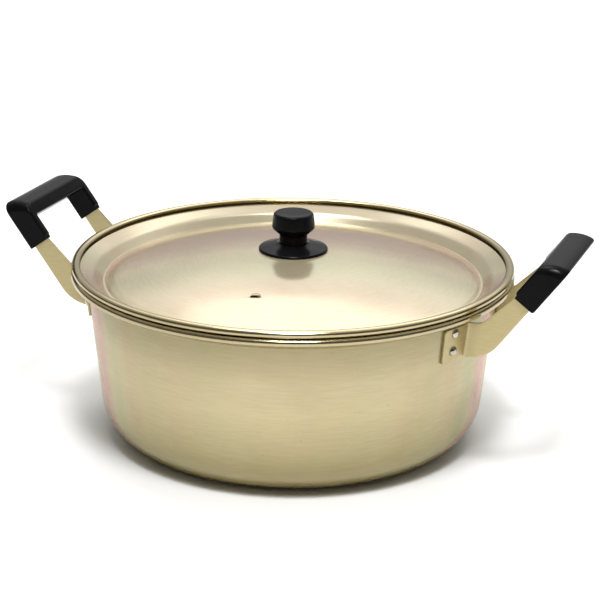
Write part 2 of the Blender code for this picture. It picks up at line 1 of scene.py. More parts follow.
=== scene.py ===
"""Looks of the two-handled stockpot: detailed pieces, finishes, stage, lights and camera.

Units are metres and +Z is up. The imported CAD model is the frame: the pot's axis is Z,
the handles point along +X and -X, and the lid lifts along +Z.
"""

import math

import bmesh
import bpy
from mathutils import Matrix, Vector


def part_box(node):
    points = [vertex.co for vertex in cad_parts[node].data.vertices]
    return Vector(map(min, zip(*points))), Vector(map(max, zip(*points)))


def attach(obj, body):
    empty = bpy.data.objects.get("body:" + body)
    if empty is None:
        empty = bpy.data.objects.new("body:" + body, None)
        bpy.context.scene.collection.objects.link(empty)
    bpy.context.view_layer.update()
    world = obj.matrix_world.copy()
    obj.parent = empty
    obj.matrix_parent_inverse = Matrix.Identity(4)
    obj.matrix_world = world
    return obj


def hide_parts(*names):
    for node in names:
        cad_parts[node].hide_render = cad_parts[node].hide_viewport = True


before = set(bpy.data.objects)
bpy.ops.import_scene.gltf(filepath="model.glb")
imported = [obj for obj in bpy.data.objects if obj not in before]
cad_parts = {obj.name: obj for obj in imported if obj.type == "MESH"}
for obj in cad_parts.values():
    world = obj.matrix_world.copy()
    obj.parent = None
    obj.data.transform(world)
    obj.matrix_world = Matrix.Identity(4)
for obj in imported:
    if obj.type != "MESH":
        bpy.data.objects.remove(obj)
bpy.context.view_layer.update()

MM = 0.001
GAP = 0.3 * MM                      # the CAD pieces that touch are this far apart

# Heights and radii read from the frame
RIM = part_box("pot_body")[1].z + GAP / 2.0          # plane between the pot's and the lid's bead
BEAD_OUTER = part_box("pot_body")[1].x               # outside of the pot's rim bead
LID_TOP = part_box("lid_shell")[1].z                 # flat pad under the knob
LID_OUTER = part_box("lid_shell")[1].x
KNOB_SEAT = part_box("knob_flange")[0].z
KNOB_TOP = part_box("knob_grip")[1].z
FLANGE_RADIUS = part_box("knob_flange")[1].x
KNOB_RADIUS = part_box("knob_grip")[1].x

# Sheet metal
POT_SHEET = 1.8 * MM
LID_SHEET = 1.2 * MM
STRAP_SHEET = 1.8 * MM

# Pot
MOUTH = BEAD_OUTER - 6.0 * MM
WALL_INSET = 5.0 * MM               # the straight wall's line meets the rim this far inside it
WALL_TAPER = 0.107
CORNER_RADIUS = 34.0 * MM
FLARE_LOW = 9.8 * MM                # below the rim, where the wall turns outwards
FLARE_HIGH = 4.4 * MM
FLARE_FILLET = 5.0 * MM
LIP_FILLET = 1.2 * MM
POT_BEAD_OUT = 3.0 * MM             # middle of the bead, outside the mouth
POT_BEAD_DROP = GAP / 2.0 + 2.9 * MM
POT_BEAD_UP = 2.0 * MM              # half height of its curl
POT_BEAD_SLACK = 0.1 * MM
POT_BEAD_END = -78.0

# Lid: corners are (radius, drop below the rim)
RING_KNEE = (MOUTH - 10.8 * MM, 3.6 * MM)
KNEE_FILLET = 12.0 * MM
GROOVE_OUTER = MOUTH - 17.5 * MM
GROOVE_INNER = MOUTH - 19.5 * MM
GROOVE_DROP = 9.6 * MM
GROOVE_FILLETS = (0.8 * MM, 0.7 * MM)         # inner and outer
SHOULDER = (MOUTH - 26.0 * MM, 6.6 * MM)
SHOULDER_FILLET = 6.0 * MM
FLANK = (MOUTH - 21.8 * MM, 8.2 * MM)
FLANK_FILLET = 3.0 * MM
PAD_RADIUS = 26.5 * MM
PAD_CORE = 12.0 * MM
DOME_END = 4.0 * MM                 # the dome's points stop this far inside the shoulder
DOME_STEP = 2.6 * MM
LEDGE_RISE = 0.75 * MM              # mid-line of the ledge that rests on the pot's bead
LEDGE_INNER = MOUTH - 0.8 * MM
LEDGE_OUTER = MOUTH + 2.0 * MM
LEDGE_FILLET = 1.4 * MM
LID_BEAD_RISE = 2.9 * MM
LID_BEAD_UP = 2.15 * MM
LID_BEAD_END = 152.0
LID_POLISH_INSET = 1.5 * MM         # the smoother edge finish starts this far inside the mouth

# Steam vent, in its own axes: x across, y down the dome, z out of it
VENT_RADIUS = 91.5 * MM
VENT_TURN = math.radians(2.9)
VENT_TWIST = math.radians(14.0)
VENT_FINE_SPAN = 8.0 * MM           # the dome's rings are closer together this near the vent
VENT_FINE_STEP = 0.8 * MM
VENT_ZONE = 12.0 * MM               # the sheet may be raised within this distance
VENT_ZONE_DEPTH = 3.0 * MM
LIP_LIFT = 0.35 * MM                # a low swelling of the sheet in front of the throat
LIP_PLACE = 1.9 * MM
LIP_SPREAD = (3.6 * MM, 1.5 * MM)
HOOD_HALVES = (3.9 * MM, 5.0 * MM, 1.75 * MM)
HOOD_SHIFT = -0.9 * MM
THROAT_HALVES = (3.2 * MM, 4.1 * MM, 1.2 * MM)
THROAT_CUT = 0.6 * MM
THROAT_STRETCH = 3.0                # makes the throat reach through the sheet

# Knob and its fixings
KNOB_HOLE = 2.8 * MM
NECK_RADIUS = 10.4 * MM
KNOB_HEAD_HEIGHT = 16.6 * MM
INSERT_POCKET = (4.8 * MM, 15.7 * MM)         # radius and depth
WASHER_RADIUS = 8.0 * MM
SCREW_HEAD_RADIUS = 4.7 * MM
SCREW_HEAD_HEIGHT = 2.8 * MM
SCREW_RADIUS = 2.5 * MM
RECESS_HALVES = (2.6 * MM, 0.45 * MM)
RECESS_DEPTH = 1.5 * MM
RECESS_TURN = 0.4

# Handles, in the (outward, up) plane
GRIP_TILT = math.radians(53.7)
GRIP_FOOT = Vector((188.3 * MM, RIM + 7.2 * MM))
GRIP_HALF_WIDTH = 9.3 * MM
GRIP_HALF_SPAN = 46.7 * MM
WINDOW_HALF_SPAN = 39.5 * MM
WINDOW_DEPTH = 20.1 * MM
GRIP_OUTER_DEPTH = 40.0 * MM
GRIP_INNER_DEPTH = 30.5 * MM
GRIP_CROWN = 2.4 * MM
GRIP_CORNER = 9.0 * MM
GRIP_EDGE = 1.8 * MM
WINDOW_FILLET = 2.5 * MM
STEP_WIDTH = 7.6 * MM               # beyond this width the feet are shorter by STEP_RISE
STEP_RISE = 2.8 * MM
STRAP_SPAN = 43.0 * MM
STRAP_HALF_WIDTH = 6.75 * MM
STRAP_OFFSET = 0.7 * MM
STRAP_BAR_DEPTH = 26.5 * MM
STRAP_CORNER = 4.0 * MM
TAB_TOP = RIM - 11.5 * MM
TAB_BOTTOM = RIM - 37.5 * MM
TAB_END_ANGLE = math.radians(26.2)
TAB_BEND_RADIUS = 3.5 * MM
TAB_BEND_REACH = math.radians(1.2)  # the tab's flat part stops this far short of the bend
TAB_CORNER = 2.2 * MM
ARM_LEVEL_RUN = 7.0 * MM            # the arm's upper edge stays level this far from the bend
ARM_UPPER_FILLET = 12.0 * MM
ARM_LOWER_SHARE = 0.97              # share of the lower edge's level run that its curve takes
STRAP_COLUMNS = 8
STRAP_EASE = 0.3 * MM

# Rivets
RIVET_RADIUS = 2.0 * MM
RIVET_HEAD_RADIUS = 3.5 * MM
RIVET_HEAD_HEIGHT = 2.1 * MM
RIVET_INNER_HEIGHT = 1.15 * MM
RIVET_INNER_GAPS = 1.2              # gaps between the inner head and the wall
RIVET_SEAT_LAP = (0.15 * MM, 0.3 * MM)        # how far the head's rim and foot sit below the seat
RIVET_FOOT_INSET = 0.1 * MM

# Studio tent: brightness against (direction . slope), halved and shifted to 0..1
TENT_SLOPE = (-0.100, 0.550, 0.829)
TENT_LEVELS = ((0.0, 0.04), (1.0, 1.5), (0.30, 0.04), (0.5, 0.13), (0.70, 0.12), (0.775, 0.34),
               (0.861, 0.56), (0.89, 0.60), (0.92, 1.05), (0.95, 1.45))
TENT_PEAK = 2.0

# Glow of the floor: none near its centre, full from GLOW_FULL outwards
GLOW_CENTRE = (-0.05, -0.25, 0.0)
GLOW_START = 0.30
GLOW_FULL = 0.75
GLOW_STRENGTH = 0.38

# Soft boxes: name, place, target, size, watts
SOFTBOXES = (
    ("top_softbox", (-0.20, 0.10, 1.7), (0.0, 0.0, 0.1), (0.6, 0.6), 7.0),
    ("back_softbox", (-0.20, 1.30, 1.70), (0.0, 0.25, 0.0), (1.7, 0.6), 5.0),
    ("front_softbox", (0.30, -0.78, 1.5), (0.0, 0.0, 0.08), (0.45, 0.45), 8.5),
)
POOL_WATTS = 75.0
POOL_ANGLE = math.radians(27.0)
POOL_SOFTNESS = 0.2
POOL_PLACE = (0.25, -0.62, 1.6)
POOL_TARGET = (0.05, -0.10, 0.0)

# Camera: where it stands round the pot and above it, how it is aimed, and its lens
CAMERA_AZIMUTH = math.radians(20.23)
CAMERA_ELEVATION = math.radians(17.96)
CAMERA_DISTANCE = 1.5
CAMERA_TURN = math.radians(20.008)
CAMERA_DIP = math.radians(18.97)
CAMERA_ROLL = math.radians(0.728)
CAMERA_LENS = 119.92
CAMERA_SENSOR = 36.0

# Facets
TURNS = 320
SMALL_TURNS = 128


# ---------------------------------------------------------------- mesh helpers

def smooth_mesh(name, shape, sharp_angle=32.0):
    bmesh.ops.recalc_face_normals(shape, faces=shape.faces)
    mesh = bpy.data.meshes.new(name)
    shape.to_mesh(mesh)
    shape.free()
    mesh.shade_smooth()
    mesh.set_sharp_from_angle(angle=math.radians(sharp_angle))
    return mesh


def piece(name, mesh, material, body, slot, *nodes):
    """A finished piece in the row frame, riding on its body in place of CAD nodes."""
    made = bpy.data.objects.new(name, mesh)
    bpy.context.scene.collection.objects.link(made)
    mesh.materials.clear()
    mesh.materials.append(material)
    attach(made, body)
    if nodes:
        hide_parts(*nodes)
    return made


def tool(name, mesh):
    """A short-lived object for a Boolean."""
    made = bpy.data.objects.new(name, mesh)
    bpy.context.scene.collection.objects.link(made)
    return made


def baked(mesh, steps, sharp_angle=32.0):
    """The mesh after Boolean operations with other meshes, given as (operation, mesh)."""
    base = tool("work", mesh)
    helpers = []
    for operation, other in steps:
        helper = tool("helper", other)
        helpers.append(helper)
        modifier = base.modifiers.new("cut", "BOOLEAN")
        modifier.object = helper
        modifier.operation = operation
        modifier.solver = "EXACT"
    graph = bpy.context.evaluated_depsgraph_get()
    result = bpy.data.meshes.new_from_object(base.evaluated_get(graph))
    for made in [base, *helpers]:
        bpy.data.objects.remove(made, do_unlink=True)
    result.shade_smooth()
    result.set_sharp_from_angle(angle=math.radians(sharp_angle))
    return result


def rounded(corners, step_angle=7.0, longest=4.0 * MM):
    """An open line through (r, z, radius) corners, each rounded, long runs divided."""
    line = [Vector(corners[0][:2])]
    for before, corner, after in zip(corners, corners[1:], corners[2:]):
        here = Vector(corner[:2])
        back = (Vector(before[:2]) - here).normalized()
        ahead = (Vector(after[:2]) - here).normalized()
        radius = corner[2]
        if radius <= 0.0:
            line.append(here)
            continue
        half = back.angle(ahead) / 2.0
        centre = here + (back + ahead).normalized() * (radius / math.sin(half))
        first = here + back * (radius / math.tan(half)) - centre
        last = here + ahead * (radius / math.tan(half)) - centre
        count = max(2, math.ceil(math.degrees(first.angle(last)) / step_angle))
        for step in range(count + 1):
            line.append(centre + first.slerp(last, step / count).normalized() * radius)
    line.append(Vector(corners[-1][:2]))
    divided = [line[0]]
    for start, end in zip(line, line[1:]):
        count = max(1, math.ceil((end - start).length / longest))
        divided += [start.lerp(end, step / count) for step in range(1, count + 1)]
    return divided


def ellipse(centre, across, up, start, end, count):
    """Points on part of an ellipse, angles in degrees."""
    points = []
    for step in range(count + 1):
        angle = math.radians(start + (end - start) * step / count)
        points.append(Vector((centre[0] + across * math.cos(angle),
                              centre[1] + up * math.sin(angle))))
    return points


def sheet_outline(line, thickness):
    """Closed outline of a sheet whose mid-line starts on the axis and ends in a round edge."""
    clean = [line[0]]
    for point in line[1:]:
        if (point - clean[-1]).length > 0.02 * MM:
            clean.append(point)
    half = thickness / 2.0
    left = []
    right = []
    for index, point in enumerate(clean):
        before = clean[max(index - 1, 0)]
        after = clean[min(index + 1, len(clean) - 1)]
        along = (after - before).normalized()
        side = Vector((-along.y, along.x)) * half
        left.append(point + side)
        right.append(point - side)
    left[0].x = 0.0
    right[0].x = 0.0
    along = (clean[-1] - clean[-2]).normalized()
    side = Vector((-along.y, along.x)) * half
    cap = []
    for step in range(1, 8):
        angle = math.pi * step / 8.0
        cap.append(clean[-1] + side * math.cos(angle) + along * half * math.sin(angle))
    return left + cap + right[::-1]


def turned(name, outline, steps=TURNS, sharp_angle=32.0):
    """Spin a closed (radius, height) outline round Z into one closed body."""
    shape = bmesh.new()
    rings = []
    for point in outline:
        if point[0] < 1e-7:
            rings.append([shape.verts.new((0.0, 0.0, point[1]))])
            continue
        ring = []
        for step in range(steps):
            angle = 2.0 * math.pi * step / steps
            spot = (point[0] * math.cos(angle), point[0] * math.sin(angle), point[1])
            ring.append(shape.verts.new(spot))
        rings.append(ring)
    for ring, following in zip(rings, rings[1:] + rings[:1]):
        if len(ring) == 1 and len(following) == 1:
            continue
        for step in range(steps):
            after = (step + 1) % steps
            corners = [ring[step % len(ring)], ring[after % len(ring)],
                       following[after % len(following)], following[step % len(following)]]
            unique = list(dict.fromkeys(corners))
            shape.faces.new(unique)
    return smooth_mesh(name, shape, sharp_angle)


def box_mesh(name, low, high):
    shape = bmesh.new()
    bmesh.ops.create_cube(shape, size=1.0)
    low, high = Vector(low), Vector(high)
    for vertex in shape.verts:
        vertex.co = Vector([(low[i] + high[i]) / 2.0 + vertex.co[i] * (high[i] - low[i])
                            for i in range(3)])
    return smooth_mesh(name, shape)


# ---------------------------------------------------------------- materials

class Finish:
    """A node material built round one Principled shader."""

    def __init__(self, name, **settings):
        self.material = bpy.data.materials.new(name)
        self.material.use_nodes = True
        self.tree = self.material.node_tree
        self.shader = self.tree.nodes["Principled BSDF"]
        for socket, value in settings.items():
            self.shader.inputs[socket.replace("_", " ")].default_value = value

    def node(self, kind, inputs=(), **settings):
        made = self.tree.nodes.new(kind)
        for key, value in settings.items():
            setattr(made, key, value)
        for key, value in dict(inputs).items():
            if isinstance(value, bpy.types.NodeSocket):
                self.tree.links.new(value, made.inputs[key])
            else:
                made.inputs[key].default_value = value
        return made

    def math(self, operation, first, second=0.0, third=0.0):
        inputs = {0: first, 1: second, 2: third}
        return self.node("ShaderNodeMath", inputs, operation=operation).outputs[0]

    def noise(self, vector, scale, detail=3.0, rough=0.55):
        inputs = {"Vector": vector, "Scale": scale, "Detail": detail, "Roughness": rough}
        return self.node("ShaderNodeTexNoise", inputs).outputs["Fac"]

    def spread(self, value, low, high, out_low, out_high):
        """Map a value's range onto another, held at the ends."""
        inputs = {"Value": value, "From Min": low, "From Max": high,
                  "To Min": out_low, "To Max": out_high}
        return self.node("ShaderNodeMapRange", inputs).outputs["Result"]

    def colours(self, factor, stops):
        ramp = self.node("ShaderNodeValToRGB", {"Fac": factor})
        elements = ramp.color_ramp.elements
        while len(elements) < len(stops):
            elements.new(0.5)
        for element, (place, colour) in zip(elements, stops):
            element.position = place
            element.color = (*colour, 1.0)
        return ramp.outputs["Color"]

    def scaled(self, vector, factors):
        inputs = {0: vector, 1: factors}
        return self.node("ShaderNodeVectorMath", inputs, operation="MULTIPLY").outputs[0]

    def object_place(self):
        return self.node("ShaderNodeTexCoord").outputs["Object"]

    def bump(self, height, distance, strength=1.0, normal=None):
        inputs = {"Height": height, "Distance": distance, "Strength": strength}
        if normal is not None:
            inputs["Normal"] = normal
        return self.node("ShaderNodeBump", inputs).outputs["Normal"]

    def connect(self, socket, name):
        self.tree.links.new(socket, self.shader.inputs[name])


# Base colours of the film where it is thin, usual and thick
WALL_TONES = ((0.455, 0.375, 0.178), (0.500, 0.415, 0.204), (0.545, 0.458, 0.232))
LID_TONES = ((0.430, 0.368, 0.240), (0.470, 0.404, 0.270), (0.512, 0.443, 0.300))
RIM_TONES = ((0.450, 0.380, 0.218), (0.500, 0.422, 0.248), (0.545, 0.462, 0.276))
# Painted shade up the wall: its colour is darkened towards the bottom and just under the rim (height
# as a share of the rim's, factor)
WALL_PAINTED_SHADE = ((0.0, 0.60), (0.22, 0.72), (0.52, 1.12), (0.70, 1.12), (0.95, 0.66))
PAINTED_SHADE_PEAK = 1.2                    # the ramp holds 0..1, so factors are stored as shares of this
PAINTED_SHADE_BLUE_POWER = 1.5              # the darker the painted shade, the more of the blue it takes

# Thin film on the gold: thickness in nanometres and its index, over a denser base
FILM_THICKNESS = 1790.0
FILM_IOR = 1.1
BASE_IOR = 2.1
SPECK_COLOUR = (0.20, 0.15, 0.07, 1.0)


def gold_finish(name, turned_grain, roughness=0.3, line_pitch=1.4 * MM, line_depth=0.012 * MM,
                metallic=0.6, tones=WALL_TONES, painted_shade=()):
    """Pale gold anodised aluminium with a fine directional grain."""
    finish = Finish(name, Metallic=metallic, IOR=BASE_IOR, Thin_Film_Thickness=FILM_THICKNESS,
                    Thin_Film_IOR=FILM_IOR, Roughness=roughness)
    place = finish.object_place()
    if turned_grain:
        parts = finish.node("ShaderNodeSeparateXYZ", {0: place})
        flat = finish.scaled(place, (1.0, 1.0, 0.0))
        radius = finish.node("ShaderNodeVectorMath", {0: flat}, operation="LENGTH").outputs["Value"]
        round_spot = finish.node("ShaderNodeVectorMath", {0: flat}, operation="NORMALIZE").outputs[0]
        along = finish.math("ADD", radius, parts.outputs["Z"])
        lift = finish.node("ShaderNodeCombineXYZ", {"Z": finish.math("DIVIDE", along, line_pitch)})
        turn = finish.scaled(round_spot, (9.0, 9.0, 0.0))
        grain = finish.node("ShaderNodeVectorMath", {0: turn, 1: lift.outputs[0]},
                            operation="ADD").outputs[0]
        finish.shader.inputs["Anisotropic"].default_value = 0.8
        tangent = finish.node("ShaderNodeTangent", direction_type="RADIAL", axis="Z")
        finish.connect(tangent.outputs["Tangent"], "Tangent")
    else:
        grain = finish.scaled(place, (90.0, 90.0, 700.0))
    coarse = finish.noise(grain, 1.0, 2.0, 0.5)
    fine = finish.noise(grain, 3.1, 3.0, 0.6)
    cloud = finish.noise(place, 16.0, 3.0, 0.5)
    speck = finish.noise(place, 420.0, 1.0, 0.5)
    mixed = finish.math("MULTIPLY_ADD", cloud, 0.45,
                        finish.math("MULTIPLY_ADD", coarse, 0.35,
                                    finish.math("MULTIPLY", fine, 0.2)))
    tint = finish.colours(finish.spread(mixed, 0.35, 0.65, 0.0, 1.0),
                          list(zip((0.0, 0.5, 1.0), tones)))
    # Painted shade: the base colour is darkened by height, towards the bottom and just under the
    # rim, where the wall takes less light
    if painted_shade:
        level = finish.math("DIVIDE", parts.outputs["Z"], RIM)
        stops = []
        for spot, part in painted_shade:
            factors = (part, part, part ** PAINTED_SHADE_BLUE_POWER)
            stops.append((spot, tuple(factor / PAINTED_SHADE_PEAK for factor in factors)))
        depth = finish.colours(level, stops)
        painted_shade_mix = finish.node("ShaderNodeMix", {0: 1.0, 6: tint, 7: depth}, data_type="RGBA",
                             blend_type="MULTIPLY")
        tint = finish.scaled(painted_shade_mix.outputs[2], (PAINTED_SHADE_PEAK,) * 3)
    dot = finish.spread(speck, 0.76, 0.80, 0.0, 0.35)
    spotted = finish.node("ShaderNodeMix", {0: dot, 6: tint, 7: SPECK_COLOUR}, data_type="RGBA")
    finish.connect(spotted.outputs[2], "Base Color")
    gloss = finish.math("MULTIPLY_ADD", fine, 0.10,
                        finish.math("MULTIPLY_ADD", cloud, 0.08, roughness - 0.09))
    finish.connect(gloss, "Roughness")
    height = finish.math("MULTIPLY_ADD", coarse, 0.6, finish.math("MULTIPLY", fine, 0.4))
    finish.connect(finish.bump(height, line_depth), "Normal")
    return finish.material


def phenolic_finish(name):
    """Black moulded phenolic: glossy, with a faint orange-peel and fine scuffs."""
    finish = Finish(name, Metallic=0.0, IOR=1.5, Specular_IOR_Level=0.07)
    place = finish.object_place()
    peel = finish.noise(place, 260.0, 2.0, 0.5)
    dust = finish.noise(place, 1700.0, 2.0, 0.6)
    cloud = finish.noise(place, 45.0, 3.0, 0.5)
    base = finish.colours(cloud, [(0.3, (0.0035, 0.0035, 0.0038)), (0.7, (0.006, 0.006, 0.0065))])
    finish.connect(base, "Base Color")
    gloss = finish.math("MULTIPLY_ADD", dust, 0.10, finish.math("MULTIPLY_ADD", cloud, 0.08, 0.12))
    finish.connect(gloss, "Roughness")
    soft = finish.bump(peel, 0.03 * MM)
    finish.connect(finish.bump(dust, 0.004 * MM, normal=soft), "Normal")
    return finish.material


def bright_finish(name, base, roughness, grain_scale, metallic=1.0):
    """Bare or plated metal with fine pits and a little tarnish."""
    finish = Finish(name, Metallic=metallic)
    place = finish.object_place()
    cloud = finish.noise(place, 190.0, 3.0, 0.55)
    pits = finish.noise(place, grain_scale, 2.0, 0.6)
    dark = tuple(0.72 * part for part in base)
    finish.connect(finish.colours(cloud, [(0.30, dark), (0.62, base)]), "Base Color")
    gloss = finish.math("MULTIPLY_ADD", pits, 0.12, roughness - 0.06)
    finish.connect(gloss, "Roughness")
    finish.connect(finish.bump(pits, 0.008 * MM), "Normal")
    return finish.material


def floor_finish(name):
    """Matt white studio floor with a trace of unevenness and a weak glow away from the pot."""
    finish = Finish(name, Metallic=0.0, Roughness=0.9, Emission_Color=(1.0, 1.0, 1.0, 1.0))
    place = finish.object_place()
    away = finish.node("ShaderNodeVectorMath", {0: place, 1: GLOW_CENTRE},
                       operation="DISTANCE").outputs["Value"]
    glow = finish.spread(away, GLOW_START, GLOW_FULL, 0.0, GLOW_STRENGTH)
    finish.connect(glow, "Emission Strength")
    cloud = finish.noise(place, 2.0, 2.0, 0.5)
    finish.connect(finish.colours(cloud, [(0.2, (0.90, 0.90, 0.90)), (0.8, (0.93, 0.93, 0.93))]),
                   "Base Color")
    return finish.material


wall_gold = gold_finish("pot_gold", True, roughness=0.2, metallic=0.32, painted_shade=WALL_PAINTED_SHADE)
lid_gold = gold_finish("lid_gold", True, roughness=0.17, line_pitch=1.0 * MM, line_depth=0.002 * MM,
                       tones=LID_TONES, metallic=0.5)
strap_gold = gold_finish("strap_gold", False, roughness=0.34, line_depth=0.006 * MM)
rim_gold = gold_finish("rim_gold", True, roughness=0.1, line_pitch=0.8 * MM,
                       line_depth=0.001 * MM, metallic=0.95, tones=RIM_TONES)
phenolic = phenolic_finish("black_moulding")
rivet_metal = bright_finish("rivet_aluminium", (0.56, 0.53, 0.45), 0.13, 900.0)
plated = bright_finish("plated_steel", (0.60, 0.60, 0.58), 0.28, 1200.0)
brass = bright_finish("brass", (0.63, 0.47, 0.20), 0.30, 1200.0)


# ---------------------------------------------------------------- pot

def wall_radius(height):
    """Outer radius of the straight wall at a height."""
    return MOUTH - WALL_INSET - WALL_TAPER * (RIM - height)


def wall_middle(height):
    return wall_radius(height) - POT_SHEET / 2.0 / math.cos(math.atan(WALL_TAPER))


def build_pot():
    half = POT_SHEET / 2.0
    bead = (MOUTH + POT_BEAD_OUT, RIM - POT_BEAD_DROP)
    bead_across = BEAD_OUTER - POT_BEAD_SLACK - half - bead[0]
    lip = bead[0] - bead_across
    corners = [(0.0, half, 0.0), (wall_middle(half), half, CORNER_RADIUS - half)]
    corners += [(wall_middle(RIM - FLARE_LOW), RIM - FLARE_LOW, FLARE_FILLET)]
    corners += [(lip, RIM - FLARE_HIGH, LIP_FILLET), (lip, bead[1], 0.0)]
    line = rounded(corners)[:-1]
    line += ellipse(bead, bead_across, POT_BEAD_UP, 180.0, POT_BEAD_END, 30)
    mesh = turned("pot_shell", sheet_outline(line, POT_SHEET))
    piece("pot_shell", mesh, wall_gold, "pot", "gold_aluminium", "pot_body")
    polish_rim(mesh, MOUTH, RIM - FLARE_HIGH)


def polish_rim(mesh, inner_radius, low):
    """Give the rolled edge its smoother finish."""
    mesh.materials.append(rim_gold)
    for face in mesh.polygons:
        if face.center.xy.length > inner_radius and face.center.z > low:
            face.material_index = 1


# ---------------------------------------------------------------- lid

def dome_height(radius):
    """Height of the lid's upper side between the pad and the shoulder."""
    rise = LID_TOP - (RIM - SHOULDER[1])
    sphere = (SHOULDER[0] ** 2 + rise ** 2) / (2.0 * rise)
    pad_drop = sphere - math.sqrt(sphere ** 2 - PAD_RADIUS ** 2)
    drop = sphere - math.sqrt(sphere ** 2 - radius ** 2) - pad_drop
    return LID_TOP - rise * drop / (rise - pad_drop)


def lid_line():
    """Mid-line of the lid's sheet from the axis to the curled edge."""
    half = LID_SHEET / 2.0
    line = [Vector((0.0, LID_TOP - half)), Vector((PAD_CORE, LID_TOP - half))]
    radius = PAD_RADIUS
    while radius < SHOULDER[0] - DOME_END:
        line.append(Vector((radius, dome_height(radius) - half)))
        radius += VENT_FINE_STEP if abs(radius - VENT_RADIUS) < VENT_FINE_SPAN else DOME_STEP
    groove = RIM - GROOVE_DROP - half
    ledge = LEDGE_RISE + RIM
    corners = [(line[-1].x, line[-1].y, 0.0)]
    corners += [(SHOULDER[0], RIM - SHOULDER[1] - half, SHOULDER_FILLET)]
    corners += [(FLANK[0], RIM - FLANK[1] - half, FLANK_FILLET)]
    corners += [(GROOVE_INNER, groove, GROOVE_FILLETS[0])]
    corners += [(GROOVE_OUTER, groove, GROOVE_FILLETS[1])]
    corners += [(RING_KNEE[0], RIM - RING_KNEE[1] - half, KNEE_FILLET)]
    corners += [(LEDGE_INNER, ledge, LEDGE_FILLET), (LEDGE_OUTER, ledge, 0.0)]
    line += rounded(corners, longest=1.6 * MM)[1:-1]
    across = LID_OUTER - half - LEDGE_OUTER
    line += ellipse((LEDGE_OUTER, RIM + LID_BEAD_RISE), across, LID_BEAD_UP,
                    -90.0, LID_BEAD_END, 32)
    return line


def half_ellipsoid(name, halves, front):
    """An ellipsoid cut off flat at y = front, in the vent's own axes."""
    shape = bmesh.new()
    bmesh.ops.create_uvsphere(shape, u_segments=48, v_segments=24, radius=1.0)
    bmesh.ops.scale(shape, vec=halves, verts=shape.verts)
    geometry = shape.verts[:] + shape.edges[:] + shape.faces[:]
    cut = bmesh.ops.bisect_plane(shape, geom=geometry, plane_co=(0.0, front, 0.0),
                                 plane_no=(0.0, 1.0, 0.0), clear_outer=True)
    edges = [item for item in cut["geom_cut"] if isinstance(item, bmesh.types.BMEdge)]
    bmesh.ops.contextual_create(shape, geom=edges)
    return smooth_mesh(name, shape)


def vent_frame():
    """Placement of the steam vent: local y points down the dome towards the rim."""
    fall = dome_height(VENT_RADIUS - MM) - dome_height(VENT_RADIUS + MM)
    slope = math.atan(fall / (2.0 * MM))
    turn = Matrix.Rotation(math.pi + VENT_TURN, 4, "Z")
    lean = Matrix.Rotation(-slope, 4, "X")
    place = Matrix.Translation((0.0, VENT_RADIUS, dome_height(VENT_RADIUS)))
    twist = Matrix.Rotation(VENT_TWIST, 4, "Z")
    return turn @ place @ lean @ twist


def build_lid():
    mesh = turned("lid_pressing", sheet_outline(lid_line(), LID_SHEET))
    place = vent_frame()
    inverse = place.inverted()
    for vertex in mesh.vertices:
        local = inverse @ vertex.co
        if local.xy.length > VENT_ZONE or abs(local.z) > VENT_ZONE_DEPTH:
            continue
        spread = (local.x / LIP_SPREAD[0]) ** 2 + ((local.y - LIP_PLACE) / LIP_SPREAD[1]) ** 2
        vertex.co += place.to_3x3() @ Vector((0.0, 0.0, LIP_LIFT * math.exp(-spread)))
    hood = half_ellipsoid("hood", HOOD_HALVES, 0.0)
    throat = half_ellipsoid("throat", THROAT_HALVES, THROAT_CUT)
    for vertex in throat.vertices:
        if vertex.co.z < 0.0:
            vertex.co.z *= THROAT_STRETCH
    hood.transform(Matrix.Translation((HOOD_SHIFT, 0.0, 0.0)))
    for helper in (hood, throat):
        helper.transform(place)
    reach = 5.0 * MM
    hole = turned("hole", [(0.0, -reach), (KNOB_HOLE, -reach), (KNOB_HOLE, reach),
                           (0.0, reach)], 48)
    hole.transform(Matrix.Translation((0.0, 0.0, LID_TOP)))
    mesh = baked(mesh, [("UNION", hood), ("DIFFERENCE", throat), ("DIFFERENCE", hole)])
    piece("lid_pressing", mesh, lid_gold, "lid", "gold_aluminium", "lid_shell")
    polish_rim(mesh, MOUTH - LID_POLISH_INSET, RIM)


# ---------------------------------------------------------------- knob

def closed(corners, step_angle=9.0):
    """A closed outline from rounded corners; its first and last points are square."""
    return rounded(corners, step_angle, longest=3.0 * MM)


